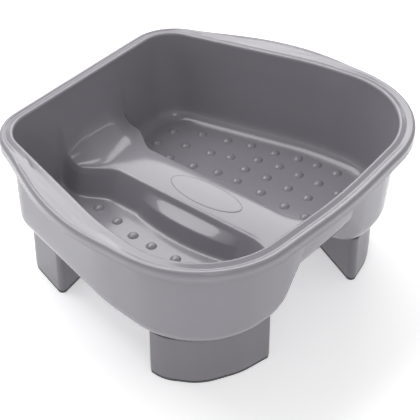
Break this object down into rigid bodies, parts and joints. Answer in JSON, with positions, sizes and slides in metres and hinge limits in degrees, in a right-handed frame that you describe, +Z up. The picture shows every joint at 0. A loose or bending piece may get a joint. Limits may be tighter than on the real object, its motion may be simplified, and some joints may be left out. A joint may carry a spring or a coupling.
{
  "type": "foot spa basin",
  "caption": "Tub with two studded foot wells, a raised centre ridge, a wide rolled rim with side grips, and push-on corner legs with rubber soles.",
  "frame": {"origin": "on the floor, under the middle of the whole object's box", "axes": "+Z up; -Y is the wide toe end, the front; +Y is the narrow heel end; the YZ plane is the mirror plane"},
  "size_m": [0.427, 0.3849, 0.185],
  "materials": {
    "tub": "semi-gloss moulded polypropylene",
    "leg": "satin moulded polypropylene",
    "pad": "matt soft sole",
    "badge": "semi-gloss blank plate"
  },
  "bodies": {
    "tub": {"basin": "tub", "ridge_badge": "badge"},
    "front_left_foot": {"front_left_leg": "leg", "front_left_pad": "pad"},
    "front_right_foot": {"front_right_leg": "leg", "front_right_pad": "pad"},
    "back_left_foot": {"back_left_leg": "leg", "back_left_pad": "pad"},
    "back_right_foot": {"back_right_leg": "leg", "back_right_pad": "pad"}
  },
  "joints": [
    {"name": "front_left_pull", "type": "slide", "parent": "tub", "child": "front_left_foot", "axis": [0, 0, -1], "range_m": [0, 0.03]},
    {"name": "front_right_pull", "type": "slide", "parent": "tub", "child": "front_right_foot", "axis": [0, 0, -1], "range_m": [0, 0.03]},
    {"name": "back_left_pull", "type": "slide", "parent": "tub", "child": "back_left_foot", "axis": [0, 0, -1], "range_m": [0, 0.03]},
    {"name": "back_right_pull", "type": "slide", "parent": "tub", "child": "back_right_foot", "axis": [0, 0, -1], "range_m": [0, 0.03]}
  ]
}
